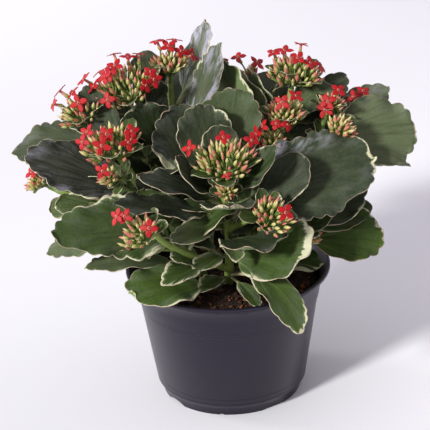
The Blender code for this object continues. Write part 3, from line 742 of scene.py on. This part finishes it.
def leafMaterial(name, under):
    maker = Maker(name, Specular_IOR_Level=0.26, IOR=1.42)
    place = maker.position()
    rim, cream, fan, reach = (maker.attribute(mark) for mark in ("rim", "cream", "fan", "reach"))
    stalk, lush, pale, gloss, seed = (maker.attribute(mark)
                                      for mark in ("stalk", "lush", "pale", "gloss", "seed"))
    fine = maker.noise(place, 1500.0, 2.0)
    grain = maker.noise(place, 420.0, 4.0, 0.6)
    cloud = maker.noise(place, 55.0, 3.0)
    fanPlace = maker.add("ShaderNodeCombineXYZ", {}, {"X": fan * 5.0, "Y": reach * 0.035, "Z": seed})
    streak = maker.noise(fanPlace, 1.7, 4.0, 0.62)
    broad = maker.noise(fanPlace, 0.7, 2.0)
    ribPlace = maker.add("ShaderNodeCombineXYZ", {}, {"X": fan * 17.0, "Y": reach * 0.03, "Z": seed})
    rib = maker.noise(ribPlace, 1.5, 2.0)
    bent = fan + (cloud - 0.5) * 0.10
    fold = maker.add("ShaderNodeMath", {"operation": "PINGPONG"}, {0: bent + 10.0, 1: leafShape["veinStep"]})
    vein = (1.0 - fold * reach / leafShape["veinWide"]).clamp()
    vein = vein * (1.0 - reach / leafShape["veinLong"]).clamp()
    if under:
        body = maker.mix(lush, paint(94, 106, 78), paint(104, 126, 62))
        body = maker.mix(streak.over(0.35, 1.2), body, paint(128, 138, 106))
        body = maker.mix(vein * 0.5, body, paint(150, 160, 124))
    else:
        dusk = maker.mix(cloud.over(0.3, 2.0), paint(42, 51, 33), paint(60, 70, 48))
        fresh = maker.mix(cloud.over(0.3, 2.0), paint(42, 64, 14), paint(70, 96, 28))
        body = maker.mix(lush, dusk, fresh)
        body = maker.mix(streak.over(0.44, 3.0) * 0.3, body, paint(98, 108, 76))
        # pale above 0 lightens the face towards light grey-green: partly the leaf's own paler tone, partly
        # painted light
        body = maker.mix(pale * 0.75, body, maker.mix(lush, paint(102, 110, 84), paint(110, 126, 74)))
        body = maker.mix((grain - 0.42).clamp() * 0.9, body, paint(88, 98, 72))
        body = maker.mix(vein * (0.18 + 0.3 * lush), body, paint(120, 138, 82))
        body = maker.mix(((0.5 - rib) * 5.0).clamp() * 0.35, body, paint(32, 40, 22))
        # pale below 0 darkens the face towards a dim grey: partly the leaf's own greyer tone, partly painted
        # shade
        greyToneAndShade = maker.mix(rib.over(0.32, 3.0), paint(26, 28, 22), paint(62, 62, 56))
        body = maker.mix((0.0 - pale).clamp(), body, greyToneAndShade)
        # painted sheen: a cool pale grey painted on the face near the margin, where highlights fall
        edge = (1.2 - rim / 9.0).clamp()
        paintedSheen = (streak.over(0.46, 5.0) * gloss * (0.4 + 0.6 * broad) * edge).clamp()
        body = maker.mix(paintedSheen, body, paint(156, 154, 168))
    body = maker.mix(stalk * 0.85, body, paint(122, 146, 80))
    creamDeep = cream * rib.over(0.3, 4.0) - ((0.6 - cloud) * 0.9).clamp() * 0.5
    feather = ((creamDeep * 1.7 + 0.5 - rim) / 1.6).clamp()
    body = maker.mix(feather * 0.45, body, paint(150, 158, 124))
    solid = ((creamDeep - rim) / 0.35 + 0.45).clamp()
    colour = maker.mix(solid, body, maker.mix(grain, paint(194, 193, 156), paint(216, 213, 184)))
    blush = ((0.34 - rim) / 0.2).clamp() * cloud.over(0.35, 3.0)
    colour = maker.mix(blush * 0.55, colour, paint(176, 104, 112))
    if under:
        roughness = 0.5 + 0.15 * fine
    else:
        roughness = 0.46 + 0.16 * fine - 0.14 * paintedSheen
    height = grain * 0.8 + fine * 0.55 + vein * (-0.5 if not under else 0.8)
    height = height + streak * 0.9 * (0.4 + gloss) + rib * 0.5
    return maker.finish(colour, roughness, height, 0.0008, 0.6)


leafMaterials = [leafMaterial("leafUpper", False), leafMaterial("leafUnderside", True)]


# leaves inside the bush, in opposite pairs up each stem, that close the view between the outer ones
innerLeaves = {
    "front": (96, 108, 124),
    "left": (98, 112, 128, 142),
    "left_back": (104, 122, 140, 158),
    "left_side": (150,),
    "left_edge": (112, 126, 134),
    "right": (98, 112, 126, 138),
    "right_back": (118, 136, 154),
    "right_far": (118, 136, 150),
    "right_low": (104,),
    "back": (98, 112, 128, 146),
    "front_right": (126,),
    "front_left": (112, 122),
}
innerShape = {"long": (34, 46), "wide": (0.6, 0.75), "arch": (2, 5), "blunt": (0.45, 0.65), "tilt": (18, 40),
              "cup": 2.5, "stalk": 0.2, "grid": (36, 18)}


def makeInnerLeaves():
    luck = random.Random(11)
    number = 0
    for stem, heights in innerLeaves.items():
        turn = luck.uniform(0, 180)
        for height in heights:
            turn += 90 + luck.uniform(-20, 20)
            for half in (0, 180):
                middle, along, radius = onStem(stem, height)
                angle = math.radians(turn + half)
                out = Vector((math.cos(angle), math.sin(angle), 0))
                # short towards the front, where the soil and stems show
                forward = max(0.0, -out.y) * max(0.0, 1 - middle.y / 60)
                long = luck.uniform(*innerShape["long"]) * (1 - 0.6 * forward) * (0.85 if height > 145 else 1)
                tilt = math.radians(luck.uniform(*innerShape["tilt"]))
                axis = (out * math.cos(tilt) + Vector((0, 0, math.sin(tilt)))).normalized()
                outward = (axis - along * axis.dot(along)).normalized()
                start = middle + outward * (radius + 1.0)
                up = Vector((0, 0, 1)) - out * 0.3
                up = (up - axis * up.dot(axis)).normalized()
                number += 1
                look = {**leafLooks["usual"], "lush": luck.uniform(0.3, 0.9), "rim": luck.uniform(0.4, 0.8),
                        "gloss": 0.0}
                shape = (long * luck.uniform(*innerShape["wide"]), luck.uniform(*innerShape["arch"]),
                         innerShape["cup"], innerShape["stalk"], luck.uniform(*innerShape["blunt"]), 0)
                piece = makeLeaf(f"leaf_inner_{number}", (start, long, axis, axis.cross(up), up), shape, look,
                                 number + 60, *innerShape["grid"])
                settle(piece)


def makeLeaves():
    for number, (name, leaf) in enumerate({**leafPlaces, **smallLeaves}.items()):
        small = name in smallLeaves
        look = {**leafLooks["usual"], **leafLooks.get(name, {})}
        rows, columns = (40, 20) if small else (leafShape["rows"], leafShape["columns"])
        shape = (leaf[3], *leaf[5:], *usualEnd[len(leaf) - 7:])
        piece = makeLeaf(name + "_blade", leafFrame(leaf), shape, look, number + 1, rows, columns)
        settle(piece, None if small else name)


makeLeaves()
makeInnerLeaves()
print("leaves ready")

# Flower heads: stalks that fan out, spindle buds in a dome, open four-petalled flowers and small bracts

flowerShape = {
    "petal": 5.7,
    "petalWide": 2.95,
    "throat": 0.6,
    "tube": 7.0,
    "bud": 6.8,
    "budRadius": 1.25,
    "stalk": 0.45,
    "crowd": 1.2,           # buds made for each one listed
    "squash": 0.72,         # height of a dome for its radius
    "budSizes": (0.72, 1.08),
    "uneven": (0.82, 1.08),  # how far the bud tips stand from the dome's middle
    "clear": 3.0,           # no bud this close to an open flower
    "arms": 6,
    "bracts": 5,
    "petalDeep": 0.28,
}
# stem and the height on it (none at its end), top of the dome, radius, buds, open flowers: place, facing
headPlaces = {
    "flowers_front": ("front", None, (1, -30, 181), 21, 70, [
        ((0, -30, 184), (0.1, -0.8, 0.8)), ((-21, -33, 179), (-0.7, -0.6, 0.5)),
        ((17, -32, 182), (0.4, -0.6, 0.8))]),
    "flowers_front_right": ("front_right", None, (31, -60, 149), 15, 44, [
        ((35, -66, 149), (0.3, -0.9, 0.3))]),
    "flowers_front_left": ("front_left", None, (-55, -72, 148), 13, 34, [
        ((-60, -73, 154), (-0.2, -0.9, 0.4)), ((-65, -71, 153), (-0.7, -0.6, 0.3)),
        ((-46, -76, 147), (0.0, -0.9, 0.4))]),
    "flowers_left": ("left", None, (-71, -20, 189), 20, 56, [
        ((-70, -30, 189), (0.0, -0.9, 0.5)), ((-82, -25, 189), (-0.6, -0.5, 0.6)),
        ((-85, -29, 184), (-0.5, -0.8, 0.3)), ((-73, -36, 184), (0.1, -0.9, 0.3)),
        ((-55, -22, 187), (0.2, -0.8, 0.6)), ((-57, -30, 183), (0.3, -0.9, 0.2))]),
    "flowers_left_edge": ("left_edge", None, (-122, 6, 149), 9, 20, [
        ((-120, 3, 152), (-0.5, -0.5, 0.7))]),
    "flowers_left_side": ("left_side", None, (-91, 12, 197), 16, 44, [
        ((-92, 13, 200), (-0.8, -0.1, 0.7)), ((-88, 5, 196), (-0.3, -0.9, 0.2)),
        ((-104, 10, 194), (-0.9, -0.2, 0.3)), ((-100, 17, 200), (-0.8, 0.2, 0.6))]),
    "flowers_left_back": ("left_back", None, (-64, 24, 210), 23, 80, [
        ((-69, 14, 211), (-0.3, -0.8, 0.6)), ((-65, 20, 214), (-0.2, -0.5, 0.9)),
        ((-72, 14, 209), (-0.6, -0.6, 0.4)), ((-79, 15, 203), (-0.8, -0.2, 0.7)),
        ((-43, 20, 209), (0.3, -0.4, 0.9)), ((-41, 14, 206), (0.4, -0.9, 0.3)),
        ((-70, 3, 198), (-0.3, -0.9, 0.3)), ((-57, 30, 216), (0.0, -0.1, 1.0)),
        ((-75, 24, 209), (-0.6, 0.2, 0.8)), ((-85, 20, 206), (-0.8, -0.1, 0.6)),
        ((-66, 36, 216), (-0.3, 0.4, 1.0)), ((-50, 34, 216), (0.1, 0.5, 1.0)),
        ((-46, 12, 203), (0.5, -0.8, 0.2))]),
    "flowers_left_top": ("left_top", None, (-33, 48, 213), 14, 44, [
        ((-39, 48, 219), (-0.3, 0.0, 1.0)), ((-32, 44, 217), (0.0, -0.6, 0.9)),
        ((-24, 44, 213), (0.5, -0.6, 0.7)), ((-17, 45, 210), (0.9, -0.3, 0.5)),
        ((-28, 52, 218), (0.2, 0.2, 1.0))]),
    "flowers_right": ("right", None, (40, 14, 190), 14, 44, [
        ((37, 5, 191), (-0.2, -0.9, 0.4)), ((46, 8, 194), (0.3, -0.5, 0.9))]),
    "flowers_right_back": ("right_back", None, (49, 48, 206), 20, 62, [
        ((34, 44, 210), (-0.3, -0.2, 1.0)), ((41, 44, 211), (0.0, -0.3, 1.0)),
        ((49, 40, 207), (0.0, -0.8, 0.7)), ((57, 41, 203), (0.5, -0.4, 0.8)),
        ((64, 44, 199), (0.9, -0.2, 0.5)), ((52, 54, 211), (0.2, 0.3, 1.0))]),
    "flowers_right_far": ("right_far", None, (70, 24, 189), 10, 22, [
        ((66, 16, 186), (-0.2, -0.9, 0.5)), ((64, 15, 181), (-0.2, -0.9, 0.2)),
        ((73, 20, 192), (0.2, -0.6, 0.8))]),
    "flowers_back": ("back", None, (-7, 88, 186), 17, 50, [
        ((-14, 90, 190), (-0.4, 0.4, 0.9)), ((2, 94, 188), (0.4, 0.7, 0.7)),
        ((-8, 99, 184), (0.0, 0.9, 0.4)), ((-2, 84, 191), (0.2, -0.2, 1.0))]),
    "small_front": ("front", 146, (1, -48, 159), 8, 22, [
        ((1, -46, 166), (-0.2, -0.7, 0.7))]),
    "small_middle": ("right", 150, (31, 0, 173), 10, 26, [
        ((24, -3, 179), (-0.7, -0.5, 0.6)), ((20, -8, 176), (-0.8, -0.6, 0.2)),
        ((33, -2, 180), (0.0, -0.7, 0.8)), ((40, -2, 179), (0.7, -0.5, 0.6))]),
    "small_right": ("right_far", 150, (77, 6, 179), 11, 34, []),
    "small_far": ("right_far", 165, (90, 42, 178), 8, 16, [
        ((90, 40, 183), (0.2, -0.4, 0.9)), ((84, 37, 180), (-0.5, -0.7, 0.5))]),
    "small_top": ("right_back", 166, (17, 60, 197), 7, 12, [
        ((12, 60, 202), (-0.3, -0.4, 0.9)), ((24, 58, 198), (0.5, -0.5, 0.8))]),
    "small_left": ("left", 150, (-73, -37, 167), 8, 20, [
        ((-73, -44, 171), (-0.1, -0.9, 0.2))]),
    "small_low": ("front_left", 112, (-66, -44, 125), 8, 14, []),
    "small_low_right": ("right_low", 106, (55, -22, 116), 8, 16, []),
    "small_back_left": ("left_side", 160, (-62, 60, 176), 11, 30, [
        ((-66, 66, 180), (-0.3, 0.7, 0.6)), ((-56, 64, 182), (0.2, 0.4, 0.9))]),
    "small_back_right": ("right_back", 150, (62, 74, 172), 11, 30, [
        ((66, 80, 175), (0.4, 0.8, 0.5)), ((58, 76, 178), (-0.2, 0.3, 1.0))]),
}


# the faces are sorted, because a sphere lists them in another order each time
def shapeOf(piece, mark, values):
    corners = [corner.co.copy() for corner in piece.data.vertices]
    sides = sorted((tuple(face.vertices), face.material_index) for face in piece.data.polygons)
    bpy.data.objects.remove(piece, do_unlink=True)
    faces = [face for face, _ in sides]
    kinds = [kind for _, kind in sides]
    return corners, faces, kinds, {mark: [values(corner) for corner in corners]}


def joined(*shapes):
    corners, faces, kinds, along = [], [], [], []
    for shape in shapes:
        start = len(corners)
        corners.extend(shape[0])
        faces.extend([[start + corner for corner in face] for face in shape[1]])
        kinds.extend(shape[2])
        along.extend(shape[3]["along"])
    return corners, faces, kinds, {"along": along}


# a spindle bud: swollen calyx, slim neck and pointed tip, hung by its tip at the origin
def modelBud():
    deselectAll()
    bpy.ops.mesh.primitive_uv_sphere_add(segments=6, ring_count=7, radius=1)
    bud = bpy.context.object
    long = flowerShape["bud"]
    for corner in bud.data.vertices:
        share = (corner.co.z + 1) / 2
        swell = 1.0 + 0.25 * math.exp(-((share - 0.2) / 0.15) ** 2) - 0.75 * share ** 3
        around = math.hypot(corner.co.x, corner.co.y)
        radius = flowerShape["budRadius"] * swell * (around ** (0.75 if share < 0.5 else 1.1))
        turn = math.atan2(corner.co.y, corner.co.x)
        corner.co = (radius * math.cos(turn), radius * math.sin(turn), (share - 1) * long)
    shape = shapeOf(bud, "along", lambda corner: 1 + corner.z / long)
    return shape[0], shape[1], [2] * len(shape[1]), shape[3]


# one petal drawn as a strip, then four around the throat
def modelFlower(droop):
    deselectAll()
    bpy.ops.mesh.primitive_grid_add(x_subdivisions=4, y_subdivisions=6, size=2)
    petal = bpy.context.object
    for corner in petal.data.vertices:
        share = (corner.co.y + 1) / 2
        half = 0.5 * flowerShape["petalWide"] * (0.16 + 1.08 * math.sin(math.pi * share ** 0.85) ** 0.85)
        half *= 1 - 0.85 * share ** 8
        lift = 0.5 * share - droop * share ** 2.2
        pull = 1 - 0.12 * droop * share
        across = corner.co.x * half
        corner.co = (across, flowerShape["throat"] + share * flowerShape["petal"] * pull,
                     lift - 0.10 * across ** 2 + 0.25 * abs(corner.co.x) ** 3)
    wall = petal.modifiers.new("Wall", "SOLIDIFY")
    wall.thickness = flowerShape["petalDeep"]
    wall.offset = -1
    wall.material_offset = 1
    for name in ("front", "rear"):
        petal.data.materials.append(bpy.data.materials.get(name) or bpy.data.materials.new(name))
    pickOnly(petal)
    bpy.ops.object.modifier_apply(modifier="Wall")
    one = shapeOf(petal, "along", lambda corner: corner.y / flowerShape["petal"])
    petals = []
    for turn in range(4):
        spin = Matrix.Rotation(math.radians(90 * turn), 4, "Z")
        tilt = Matrix.Rotation(math.radians((-6, 5, 3, -4)[turn]), 4, "X")
        petals.append(([spin @ tilt @ corner for corner in one[0]], one[1], one[2], one[3]))
    long = flowerShape["tube"]
    levels = (-long, -0.8 * long, -0.5 * long, -0.15 * long, 0.25)
    tube = rodShape([Vector((0, 0, z)) for z in levels], [0.7, 1.35, 1.0, 0.85, 1.15], 6, 2)
    tube = (tube[0], tube[1], tube[2], {"along": [0.75 * value for value in tube[3]["along"]]})
    eye = rodShape([Vector((0, 0, 0.2)), Vector((0, 0, 0.5))], [0.55, 0.35], 6, 2)
    eye = (eye[0], eye[1], [0] * len(eye[1]), {"along": [-0.3] * len(eye[0])})
    return joined(*petals, tube, eye)


def petalMaterial(name, rear):
    maker = Maker(name, Specular_IOR_Level=0.35)
    place = maker.position()
    along = maker.attribute("along")
    cloud = maker.noise(place, 260.0)
    fine = maker.noise(place, 1600.0, 2.0)
    if rear:
        colour = maker.mix(cloud, paint(196, 84, 82), paint(214, 120, 104))
        colour = maker.mix(along * 0.6, colour, paint(190, 44, 50))
    else:
        colour = maker.mix(cloud.over(0.3, 2.0), paint(158, 5, 14), paint(190, 12, 24))
        colour = maker.mix((0.35 - along).clamp() * 1.6, colour, paint(128, 4, 10))
    return maker.finish(colour, 0.48 + 0.15 * fine, fine + along, 0.0002, 0.4)


def budMaterial():
    maker = Maker("budSkin", Specular_IOR_Level=0.4)
    place = maker.position()
    along = maker.attribute("along")
    ripe = maker.attribute("ripe")
    cloud = maker.noise(place, 700.0, 2.0)
    green = maker.mix(cloud, paint(122, 142, 52), paint(168, 178, 88))
    cream = maker.mix(cloud, paint(202, 196, 128), paint(218, 198, 152))
    pink = maker.mix(cloud, paint(188, 92, 84), paint(214, 142, 120))
    colour = maker.mix(along.over(0.2, 2.2), green, cream)
    colour = maker.mix((along + ripe * 0.9).over(0.95, 3.0), colour, pink)
    return maker.finish(colour, 0.42 + 0.2 * cloud, cloud, 0.0002, 0.4)


def stalkMaterial():
    maker = Maker("stalkSkin", Specular_IOR_Level=0.4)
    place = maker.position()
    cloud = maker.noise(place, 260.0)
    colour = maker.mix(cloud, paint(92, 112, 44), paint(132, 146, 70))
    return maker.finish(colour, 0.45 + 0.2 * cloud, cloud, 0.0002, 0.4)


headMaterials = [petalMaterial("petalFront", False), petalMaterial("petalRear", True), budMaterial(),
                 stalkMaterial()]


def aimed(place, facing, twist, size=1.0):
    turn = Vector(facing).normalized().to_track_quat("Z", "Y").to_matrix().to_4x4()
    return Matrix.Translation(place) @ turn @ Matrix.Rotation(twist, 4, "Z") @ Matrix.Scale(size, 4)


def makeBracts(name, root, axis, radius, luck):
    pieces = []
    for number in range(flowerShape["bracts"]):
        turn = number * 2 * math.pi / flowerShape["bracts"] + luck.uniform(-0.4, 0.4)
        level = Matrix.Rotation(turn, 4, axis) @ axis.orthogonal().normalized()
        leaving = (level + axis * luck.uniform(0.25, 0.7)).normalized()
        up = (axis - leaving * axis.dot(leaving)).normalized()
        start = root + leaving * 2.2
        long = radius * luck.uniform(0.75, 1.0) + 3
        look = {**leafLooks["usual"], "lush": 0.7, "rim": 0.22, "gloss": 0.0, "pale": 0.0}
        shape = (0.62 * long, 0.5, 1.2, 0.18, 0.55, 0)
        pieces.append(makeLeaf(f"{name}_bract_{number}", (start, long, leaving, leaving.cross(up), up), shape,
                               look, number + 91, 18, 10))
    deselectAll()
    for piece in pieces:
        piece.select_set(True)
    bpy.context.view_layer.objects.active = pieces[0]
    bpy.ops.object.join()
    pieces[0].name = name + "_bracts"
    pieces[0].data.name = name + "_bracts"
    return settle(pieces[0])


# from the foot of a bud or flower to the nearest arm of its head
def thinStalk(foot, arms, sag, radii, sides):
    arm = min(arms, key=lambda node: (node - foot).length)
    return rodShape([foot, foot.lerp(arm, 0.5) - sag, arm], radii, sides, 3)


def makeHeads():
    bud = modelBud()
    openFlowers = [modelFlower(1.2), modelFlower(0.5), modelFlower(2.6)]
    for number, (name, (stem, height, top, radius, buds, flowers)) in enumerate(headPlaces.items()):
        luck = random.Random(number + 7)
        top = Vector(top)
        if height is None:
            path = stemPaths[stem]
            along = (path[-1] - path[-2]).normalized()
            root = path[-1] - along * 0.6
        else:
            root, along, _ = onStem(stem, height)
        axis = (top - root).normalized().lerp(Vector((0, 0, 1)), 0.35).normalized()
        centre = top - axis * (flowerShape["squash"] * radius)
        heap = Heap("along", "ripe")
        # the main stalk bends from the stem towards the dome, then splits
        fork = root.lerp(centre, 0.55)
        bend = root + along * (fork - root).length * 0.5
        main = [root, root.lerp(bend, 0.6).lerp(fork, 0.2), fork]
        heap.add(rodShape(main, [1.5, 1.3, 1.3], 8, 3))
        arms = []
        for arm in range(flowerShape["arms"]):
            turn = arm * 2 * math.pi / flowerShape["arms"] + luck.uniform(-0.3, 0.3)
            out = Matrix.Rotation(turn, 4, axis) @ axis.orthogonal().normalized()
            node = centre + out * (0.42 * radius) - axis * luck.uniform(0.1, 0.35) * radius
            middle = fork.lerp(node, 0.5) - out * 0.6
            heap.add(rodShape([fork, middle, node], [0.95, 0.75, 0.7], 5, 3))
            arms.append(node)
        arms.append(centre - axis * 0.15 * radius)
        heap.add(rodShape([fork, arms[-1]], [0.9, 0.7], 5, 3))
        spots = []
        golden = math.pi * (3 - math.sqrt(5))
        count = int(buds * flowerShape["crowd"])
        for index in range(count):
            level = 1 - 0.95 * (index + 0.5) / count
            out = math.sqrt(max(0.0, 1 - level * level))
            turn = index * golden + luck.uniform(-0.2, 0.2)
            around = Matrix.Rotation(turn, 4, axis) @ axis.orthogonal().normalized()
            towards = around * out + axis * (flowerShape["squash"] * level)
            tip = centre + towards * radius * luck.uniform(*flowerShape["uneven"])
            leaving = (tip - (centre - axis * radius * 0.75)).normalized()
            spots.append((tip, leaving))
        clear = [Vector(place) for place, _ in flowers]
        for tip, leaving in spots:
            if any((tip - place).length < flowerShape["clear"] for place in clear):
                continue
            size = luck.uniform(*flowerShape["budSizes"])
            heap.add(bud, aimed(tip, leaving, luck.uniform(0, 6), size), ripe=luck.random() ** 1.3)
            foot = tip - leaving * (flowerShape["bud"] * size - 0.3)
            heap.add(thinStalk(foot, arms, leaving * 0.4, [0.5, flowerShape["stalk"], 0.5], 4))
        for index, (place, facing) in enumerate(flowers):
            place = Vector(place)
            facing = Vector(facing).normalized()
            # two flowers of one head have turned their petals back, and the one low in front is half open
            variant = 2 if name == "small_middle" and index > 1 else index % 2
            twist = luck.uniform(0, 1.5)
            size = luck.uniform(0.93, 1.05) * (0.6 if name == "small_front" else 1.0)
            heap.add(openFlowers[variant], aimed(place, facing, twist, size), ripe=0.9)
            foot = place - facing * (flowerShape["tube"] - 0.3)
            heap.add(thinStalk(foot, arms, facing * 0.8, [0.6, 0.5, 0.55], 5))
        piece = heap.build(name + "_cluster", headMaterials)
        settle(piece, name if height is None else None)
        makeBracts(name, root.lerp(fork, 0.75), axis, radius, luck)


makeHeads()
print("flower heads ready")

# Soil: a crumbly top with loose crumbs and bark, over the CAD soil

soilShape = {"radius": 56.6, "top": 74.6, "crumbs": 1500, "small": 0.35, "large": 1.5}


def soilMaterial(name, dark, bright):
    maker = Maker(name, Specular_IOR_Level=0.25)
    place = maker.position()
    lumps = maker.noise(place, 260.0, 6.0, 0.7)
    fine = maker.noise(place, 1300.0, 3.0)
    colour = maker.mix(lumps.over(0.35, 2.4), dark, bright)
    return maker.finish(colour, 0.8 + 0.2 * fine, lumps + 0.5 * fine, 0.001, 0.9)


def makeSoil():
    earth = soilMaterial("darkSoil", paint(30, 20, 16), paint(66, 44, 34))
    bark = soilMaterial("brownCrumb", paint(58, 36, 26), paint(104, 66, 42))
    rust = soilMaterial("rustCrumb", paint(110, 62, 34), paint(168, 106, 60))
    deselectAll()
    bpy.ops.mesh.primitive_grid_add(x_subdivisions=130, y_subdivisions=130, size=2)
    bed = bpy.context.object
    bed.name = "soil_bed"
    for corner in bed.data.vertices:
        x, y = corner.co.x, corner.co.y
        place = Vector((x * math.sqrt(1 - y * y / 2), y * math.sqrt(1 - x * x / 2), 0)) * soilShape["radius"]
        far = place.length / soilShape["radius"]
        bump = noise.noise(place / 2.6) * 0.7 + noise.noise(place / 1.1) * 0.35 + noise.noise(place / 9) * 0.9
        place.z = soilShape["top"] + 1.2 + (1 - far * far) * 1.4 + bump - 3.5 * max(0, far - 0.93) / 0.07
        corner.co = place * mm
    bed.data.materials.append(earth)
    pickOnly(bed)
    bpy.ops.object.shade_smooth()
    settle(bed)

    deselectAll()
    bpy.ops.mesh.primitive_ico_sphere_add(subdivisions=1, radius=1)
    crumb = shapeOf(bpy.context.object, "along", lambda corner: 0.0)
    luck = random.Random(5)
    heap = Heap()
    for _ in range(soilShape["crumbs"]):
        turn = luck.uniform(0, 2 * math.pi)
        out = soilShape["radius"] * math.sqrt(luck.random()) * 0.985
        place = Vector((out * math.cos(turn), out * math.sin(turn), 0))
        far = out / soilShape["radius"]
        place.z = soilShape["top"] + 1.5 + (1 - far * far) * 1.4 + luck.uniform(-0.5, 0.7)
        size = soilShape["small"] + (soilShape["large"] - soilShape["small"]) * luck.random() ** 3
        lumpy = Matrix.Diagonal((size * luck.uniform(0.6, 1.4), size * luck.uniform(0.6, 1.4),
                                 size * luck.uniform(0.5, 1.0), 1))
        turned = Matrix.Rotation(luck.uniform(0, 6), 4, (luck.random(), luck.random(), 1))
        kind = 0 if luck.random() < 0.35 else 1 if luck.random() < 0.6 else 2
        heap.add((crumb[0], crumb[1], [kind] * len(crumb[1]), {}), Matrix.Translation(place) @ turned @ lumpy)
    settle(heap.build("soil_crumbs", [earth, bark, rust]))
    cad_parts["soil"].data.materials.clear()
    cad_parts["soil"].data.materials.append(earth)


makeSoil()
print("soil ready")

# Pot: satin moulded plastic with faint rings

potLook = {"rings": (62.6, 60.9, 12.5, 9.0), "ringWide": 0.5, "sharpAngle": 32}


def makePot():
    maker = Maker("charcoalPlastic", Specular_IOR_Level=0.46, Specular_Tint=(0.86, 0.79, 1.0, 1.0))
    place = maker.position()
    level = maker.add("ShaderNodeSeparateXYZ", {}, {0: place}, 2)
    cloud = maker.noise(place, 40.0, 4.0)
    fine = maker.noise(place, 2600.0, 2.0)
    ring = 0.0
    for height in potLook["rings"]:
        away = maker.add("ShaderNodeMath", {"operation": "ABSOLUTE"}, {0: level - height * mm})
        ring = (1.0 - away / (potLook["ringWide"] * mm)).clamp() + ring
    colour = maker.mix(cloud, paint(17, 14, 24), paint(22, 18, 30))
    material = maker.finish(colour, 0.26 + 0.08 * cloud + 0.06 * fine, fine * 0.15 + ring, 0.0003, 0.5)
    deselectAll()
    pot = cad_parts["pot"].copy()
    pot.data = pot.data.copy()
    pot.name = "pot_shell"
    pot.data.name = "pot_shell"
    for key in list(pot.keys()):
        del pot[key]
    pot.parent = None
    bpy.context.scene.collection.objects.link(pot)
    pickOnly(pot)
    bpy.ops.object.mode_set(mode="EDIT")
    bpy.ops.mesh.select_all(action="SELECT")
    bpy.ops.mesh.customdata_custom_splitnormals_clear()
    bpy.ops.mesh.remove_doubles(threshold=0.00001)
    bpy.ops.mesh.normals_make_consistent(inside=False)
    bpy.ops.object.mode_set(mode="OBJECT")
    bpy.ops.object.shade_smooth_by_angle(angle=math.radians(potLook["sharpAngle"]))
    pot.data.materials.clear()
    pot.data.materials.append(material)
    settle(pot, "pot")


makePot()
print("pot ready")
